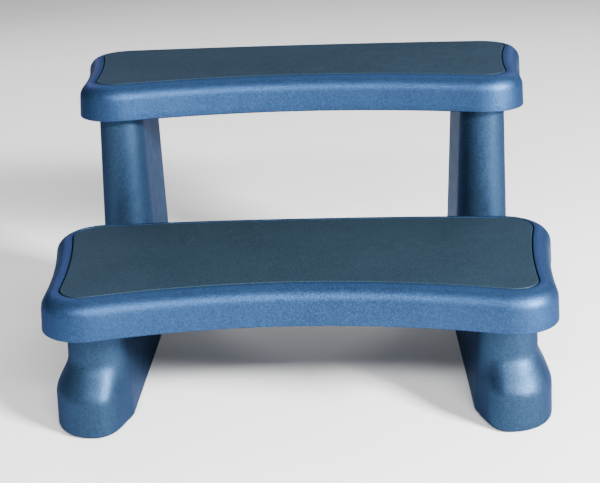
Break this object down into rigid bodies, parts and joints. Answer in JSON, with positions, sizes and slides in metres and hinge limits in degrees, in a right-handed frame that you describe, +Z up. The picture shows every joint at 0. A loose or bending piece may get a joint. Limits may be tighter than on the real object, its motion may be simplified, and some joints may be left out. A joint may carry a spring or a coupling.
{
  "type": "spa steps",
  "caption": "Free-standing two-tread spa steps: curved moulded treads with inset non-slip panels on hollow side frames with bulged feet.",
  "frame": {"origin": "on the ground, under the middle of the whole object's box", "axes": "+X along the treads to the user's right, +Y away from the user towards the spa, +Z up"},
  "size_m": [0.6742, 0.633, 0.3889],
  "materials": {
    "tread_plastic": "moulded, fine grain, satin",
    "panel_plastic": "moulded, matte non-slip grain",
    "frame_plastic": "moulded, fine grain, satin",
    "foot_rubber": "matte",
    "plug_plastic": "moulded",
    "stainless_steel": "bright",
    "insert_brass": "machined"
  },
  "bodies": {
    "root": {"lower_tread": "tread_plastic", "upper_tread": "tread_plastic", "lower_tread_panel": "panel_plastic", "upper_tread_panel": "panel_plastic", "left_side_frame": "frame_plastic", "right_side_frame": "frame_plastic", "front_left_foot_pad": "foot_rubber", "front_right_foot_pad": "foot_rubber", "rear_left_foot_pad": "foot_rubber", "rear_right_foot_pad": "foot_rubber", "left_drain_plug": "plug_plastic", "right_drain_plug": "plug_plastic", "lower_tread_bolts": "stainless_steel", "upper_tread_bolts": "stainless_steel", "lower_tread_washers": "stainless_steel", "upper_tread_washers": "stainless_steel", "foot_pad_screws": "stainless_steel", "lower_tread_inserts": "insert_brass", "upper_tread_inserts": "insert_brass"}
  },
  "joints": []
}
